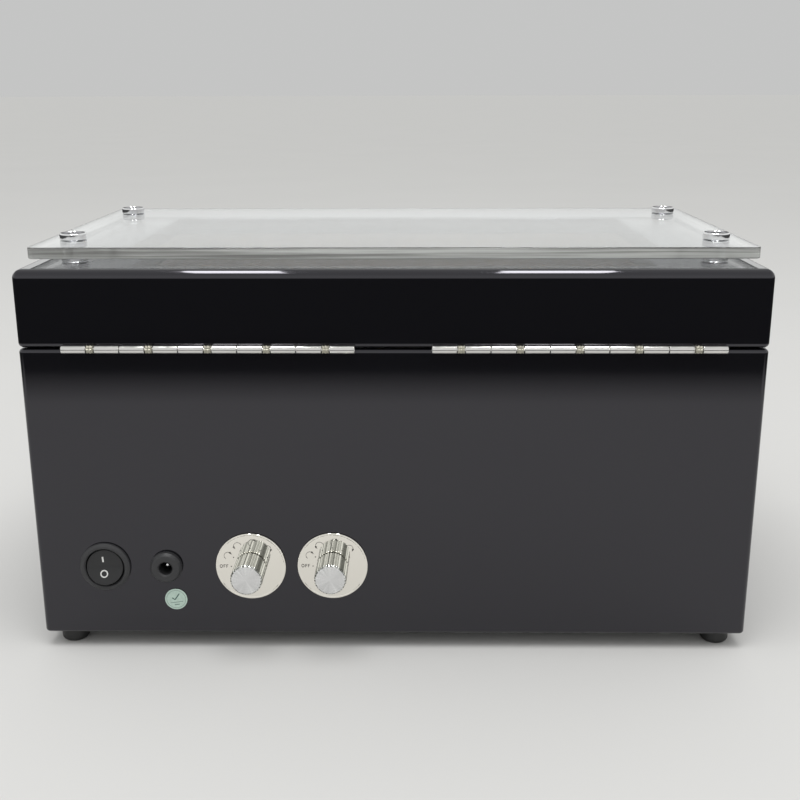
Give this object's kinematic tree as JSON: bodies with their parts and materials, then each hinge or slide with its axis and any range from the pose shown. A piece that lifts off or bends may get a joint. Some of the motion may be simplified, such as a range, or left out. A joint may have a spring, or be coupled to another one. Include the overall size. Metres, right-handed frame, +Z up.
{
  "type": "watch winder box",
  "caption": "Lacquered box that winds watches on tilted turntables, with a hinged lid under a clear plate, belt drives inside, and switches and a supply socket on the back.",
  "frame": {"origin": "centre of the bounding box's bottom, on the surface that the feet stand on", "axes": "+Z up, +Y out of the back that holds the hinges and controls, +X along the hinges"},
  "size_m": [0.325, 0.2144, 0.188],
  "materials": {
    "lacquer": "gloss black piano lacquer over fibreboard",
    "board": "black painted fibreboard",
    "lining": "beige microfibre lining",
    "cushion": "soft cream leatherette",
    "acrylic": "clear polished acrylic",
    "chrome": "mirror chrome plate",
    "aluminium": "satin and spun, warm silver",
    "steel": "zinc-plated steel",
    "brass": "plain sintered brass",
    "black_plastic": "black moulded nylon",
    "white_plastic": "white moulded acetal",
    "rubber": "black polyurethane and belt rubber",
    "circuit": "green solder mask",
    "paper": "pale green printed paper"
  },
  "bodies": {
    "case": {"base_shell": "lacquer", "bottom_panel": "board", "turntable_deck": "lining", "hinge_base_leaf_left": "chrome", "hinge_base_leaf_right": "chrome", "hinge_pin_left": "chrome", "hinge_pin_right": "chrome", "dial_plate_left": "aluminium", "dial_plate_right": "aluminium", "drive_chassis": "steel", "jack_nut": "steel", "gear_motor_left": "steel", "gear_motor_right": "steel", "axle_bearing_left": "brass", "axle_bearing_right": "brass", "rocker_switch_body": "black_plastic", "dc_jack": "black_plastic", "mode_switch_left": "black_plastic", "mode_switch_right": "black_plastic", "foot_back_left": "rubber", "foot_back_right": "rubber", "foot_front_left": "rubber", "foot_front_right": "rubber", "drive_belt_left": "rubber", "drive_belt_right": "rubber", "control_board": "circuit", "inspection_sticker": "paper"},
    "lid": {"lid_shell": "lacquer", "acrylic_plate": "acrylic", "standoff_cap_back_left": "chrome", "standoff_cap_back_right": "chrome", "standoff_cap_front_left": "chrome", "standoff_cap_front_right": "chrome", "standoff_spacer_back_left": "chrome", "standoff_spacer_back_right": "chrome", "standoff_spacer_front_left": "chrome", "standoff_spacer_front_right": "chrome", "hinge_lid_leaf_left": "chrome", "hinge_lid_leaf_right": "chrome"},
    "rocker": {"rocker_paddle": "black_plastic"},
    "turntable_left": {"turntable_left": "lining", "turntable_axle_left": "steel", "driven_pulley_left": "white_plastic"},
    "motor_pulley_left": {"motor_pulley_left": "white_plastic"},
    "mode_knob_left": {"mode_knob_left": "aluminium", "mode_shaft_left": "steel"},
    "cushion_left_outer": {"watch_cushion_left_outer": "cushion"},
    "cushion_left_inner": {"watch_cushion_left_inner": "cushion"},
    "turntable_right": {"turntable_right": "lining", "turntable_axle_right": "steel", "driven_pulley_right": "white_plastic"},
    "motor_pulley_right": {"motor_pulley_right": "white_plastic"},
    "mode_knob_right": {"mode_knob_right": "aluminium", "mode_shaft_right": "steel"},
    "cushion_right_outer": {"watch_cushion_right_outer": "cushion"},
    "cushion_right_inner": {"watch_cushion_right_inner": "cushion"}
  },
  "joints": [
    {"name": "lid_hinge", "type": "hinge", "parent": "case", "child": "lid", "pos_m": [0, 0.09245, 0.1432], "axis": [-1, 0, 0], "range_deg": [0, 95]},
    {"name": "turntable_spin_left", "type": "hinge", "parent": "case", "child": "turntable_left", "pos_m": [0.064, -0.005, 0.092], "axis": [0, -0.5736, 0.8192], "continuous": true},
    {"name": "motor_pulley_spin_left", "type": "hinge", "parent": "case", "child": "motor_pulley_left", "pos_m": [0.02074, 0.00516, 0.09911], "axis": [0, -0.5736, 0.8192], "continuous": true},
    {"name": "cushion_lift_left_outer", "type": "slide", "parent": "turntable_left", "child": "cushion_left_outer", "axis": [0, -0.5736, 0.8192], "range_m": [0, 0.034]},
    {"name": "cushion_lift_left_inner", "type": "slide", "parent": "turntable_left", "child": "cushion_left_inner", "axis": [0, -0.5736, 0.8192], "range_m": [0, 0.034]},
    {"name": "turntable_spin_right", "type": "hinge", "parent": "case", "child": "turntable_right", "pos_m": [-0.064, -0.005, 0.092], "axis": [0, -0.5736, 0.8192], "continuous": true},
    {"name": "motor_pulley_spin_right", "type": "hinge", "parent": "case", "child": "motor_pulley_right", "pos_m": [-0.02074, 0.00516, 0.09911], "axis": [0, -0.5736, 0.8192], "continuous": true},
    {"name": "cushion_lift_right_outer", "type": "slide", "parent": "turntable_right", "child": "cushion_right_outer", "axis": [0, -0.5736, 0.8192], "range_m": [0, 0.034]},
    {"name": "cushion_lift_right_inner", "type": "slide", "parent": "turntable_right", "child": "cushion_right_inner", "axis": [0, -0.5736, 0.8192], "range_m": [0, 0.034]},
    {"name": "rocker_tilt", "type": "hinge", "parent": "case", "child": "rocker", "pos_m": [0.1316, 0.09135, 0.0411], "axis": [-0.9969, 0, 0.0785], "range_deg": [0, 20]},
    {"name": "mode_turn_left", "type": "hinge", "parent": "case", "child": "mode_knob_left", "pos_m": [0.0649, 0.09085, 0.0416], "axis": [0, -1, 0], "range_deg": [0, 150]},
    {"name": "mode_turn_right", "type": "hinge", "parent": "case", "child": "mode_knob_right", "pos_m": [0.0276, 0.09085, 0.0419], "axis": [0, -1, 0], "range_deg": [0, 150]}
  ],
  "couplings": [
    {"joint": "motor_pulley_spin_left", "follows": "turntable_spin_left", "ratio": 3},
    {"joint": "motor_pulley_spin_right", "follows": "turntable_spin_right", "ratio": 3}
  ]
}
